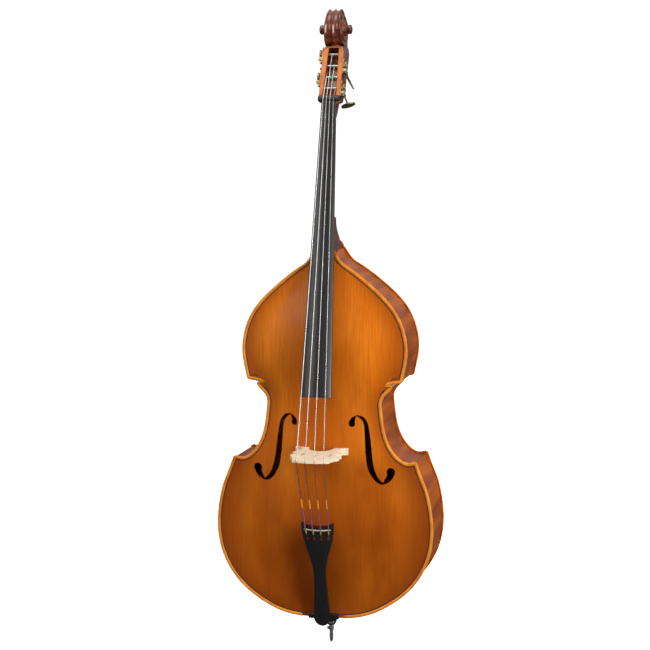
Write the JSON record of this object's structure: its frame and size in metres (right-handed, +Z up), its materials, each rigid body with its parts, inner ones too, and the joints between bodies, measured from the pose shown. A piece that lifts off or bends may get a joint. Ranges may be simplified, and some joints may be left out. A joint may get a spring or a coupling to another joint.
{
  "type": "double bass",
  "caption": "Upright double bass with violin corners, arched plates, scroll, geared tuning machines, bridge, tailpiece and sliding endpin.",
  "frame": {"origin": "the tip of the endpin, on the endpin's axis, on the floor", "axes": "+Z up the body to the scroll, the front faces -Y, +X is the treble side"},
  "size_m": [0.6562, 0.4293, 1.917],
  "materials": {
    "top_varnish": "amber varnished spruce",
    "maple_varnish": "red-brown varnished flamed maple",
    "scroll_varnish": "dark red-brown varnished maple",
    "inside_wood": "bare spruce and willow",
    "purfling": "dyed strip",
    "ebony": "black ebony, satin",
    "bridge_maple": "bare pale maple",
    "bone": "pale fret strip",
    "brass": "aged brass",
    "steel": "bright steel",
    "key_metal": "darkened bronze",
    "string_steel": "flat-wound steel",
    "nickel": "plated ring"
  },
  "bodies": {
    "bass": {"top_plate": "top_varnish", "back_plate": "maple_varnish", "purfling_top": "purfling", "purfling_back": "purfling", "rib_lower_bass": "maple_varnish", "rib_lower_treble": "maple_varnish", "rib_c_bass": "maple_varnish", "rib_c_treble": "maple_varnish", "rib_upper_bass": "maple_varnish", "rib_upper_treble": "maple_varnish", "linings": "inside_wood", "neck_block": "inside_wood", "end_block": "inside_wood", "corner_blocks": "inside_wood", "bass_bar": "inside_wood", "sound_post": "inside_wood", "neck": "scroll_varnish", "fingerboard": "ebony", "nut": "ebony", "saddle": "ebony", "bridge": "bridge_maple", "tailpiece": "ebony", "tail_fret": "bone", "tail_wire": "steel", "endpin_collar": "ebony", "endpin_ferrule": "nickel", "endpin_sleeve": "steel", "machine_plates_bass": "brass", "machine_plates_treble": "brass", "worm_brackets_bass": "brass", "worm_brackets_treble": "brass", "plate_screws_bass": "brass", "plate_screws_treble": "brass", "string_e": "string_steel", "string_a": "string_steel", "string_d": "string_steel", "string_g": "string_steel"},
    "endpin": {"endpin_rod": "steel", "endpin_tip": "steel"},
    "endpin_clamp": {"endpin_screw": "steel"},
    "key_1_turning": {"key_1": "key_metal", "worm_1": "steel"},
    "post_1_turning": {"post_1": "steel", "gear_1": "brass"},
    "key_2_turning": {"key_2": "key_metal", "worm_2": "steel"},
    "post_2_turning": {"post_2": "steel", "gear_2": "brass"},
    "key_3_turning": {"key_3": "key_metal", "worm_3": "steel"},
    "post_3_turning": {"post_3": "steel", "gear_3": "brass"},
    "key_4_turning": {"key_4": "key_metal", "worm_4": "steel"},
    "post_4_turning": {"post_4": "steel", "gear_4": "brass"}
  },
  "joints": [
    {"name": "endpin_slide", "type": "slide", "parent": "bass", "child": "endpin", "axis": [0, 0, 1], "range_m": [-0.18, 0.022]},
    {"name": "endpin_screw_turn", "type": "hinge", "parent": "bass", "child": "endpin_clamp", "pos_m": [0, 0, 0.046], "axis": [-0.5, -0.866, 0], "range_deg": [-180, 180]},
    {"name": "key_1_turn", "type": "hinge", "parent": "bass", "child": "key_1_turning", "pos_m": [-0.04, 0.02777, 1.76283], "axis": [0, 0.9135, -0.4067], "continuous": true},
    {"name": "post_1_turn", "type": "hinge", "parent": "bass", "child": "post_1_turning", "pos_m": [0, 0.03541, 1.78], "axis": [1, 0, 0], "continuous": true},
    {"name": "key_2_turn", "type": "hinge", "parent": "bass", "child": "key_2_turning", "pos_m": [0.04, 0.01218, 1.72783], "axis": [0, 0.9135, -0.4067], "continuous": true},
    {"name": "post_2_turn", "type": "hinge", "parent": "bass", "child": "post_2_turning", "pos_m": [0, 0.01983, 1.745], "axis": [1, 0, 0], "continuous": true},
    {"name": "key_3_turn", "type": "hinge", "parent": "bass", "child": "key_3_turning", "pos_m": [-0.04, -0.00295, 1.69383], "axis": [0, 0.9135, -0.4067], "continuous": true},
    {"name": "post_3_turn", "type": "hinge", "parent": "bass", "child": "post_3_turning", "pos_m": [0, 0.00469, 1.711], "axis": [1, 0, 0], "continuous": true},
    {"name": "key_4_turn", "type": "hinge", "parent": "bass", "child": "key_4_turning", "pos_m": [0.04, -0.01765, 1.66083], "axis": [0, 0.9135, -0.4067], "continuous": true},
    {"name": "post_4_turn", "type": "hinge", "parent": "bass", "child": "post_4_turning", "pos_m": [0, -0.01, 1.678], "axis": [1, 0, 0], "continuous": true}
  ],
  "couplings": [
    {"joint": "post_1_turn", "follows": "key_1_turn", "ratio": -0.055556},
    {"joint": "post_2_turn", "follows": "key_2_turn", "ratio": -0.055556},
    {"joint": "post_3_turn", "follows": "key_3_turn", "ratio": -0.055556},
    {"joint": "post_4_turn", "follows": "key_4_turn", "ratio": -0.055556}
  ]
}
